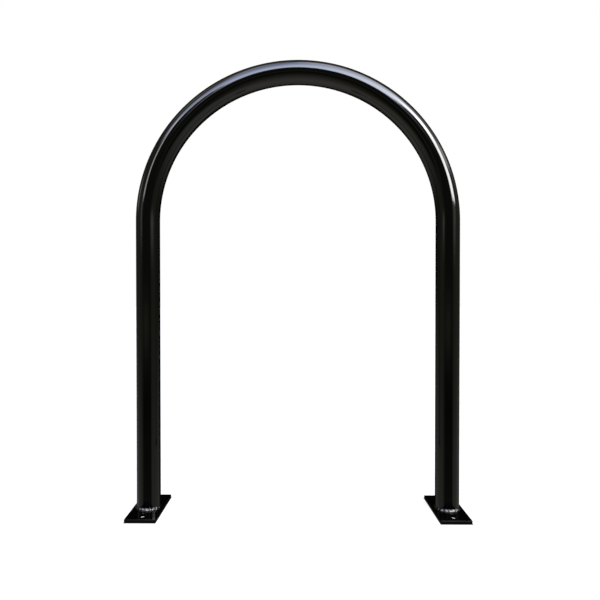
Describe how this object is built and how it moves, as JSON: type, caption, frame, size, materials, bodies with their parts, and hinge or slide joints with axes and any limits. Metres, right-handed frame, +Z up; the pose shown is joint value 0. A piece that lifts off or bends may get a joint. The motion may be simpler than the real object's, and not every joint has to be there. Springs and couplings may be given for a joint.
{
  "type": "hoop bike rack",
  "caption": "Inverted-U hoop of bent black steel pipe, its legs fillet-welded to flat rectangular foot plates slotted for ground anchors; locks a bicycle by its frame.",
  "frame": {"origin": "on the ground, midway between the two feet", "axes": "+Z up; X across the hoop from the left leg (-X) to the right leg (+X) as seen from the front; +Y from the front to the back, along the long side of the foot plates"},
  "size_m": [0.6706, 0.15, 0.9144],
  "materials": {
    "black_coat": "gloss",
    "black_coat_on_weld": "gloss"
  },
  "bodies": {
    "root": {"hoop_tube": "black_coat", "left_base_plate": "black_coat", "right_base_plate": "black_coat", "left_weld_bead": "black_coat_on_weld", "right_weld_bead": "black_coat_on_weld"}
  },
  "joints": []
}
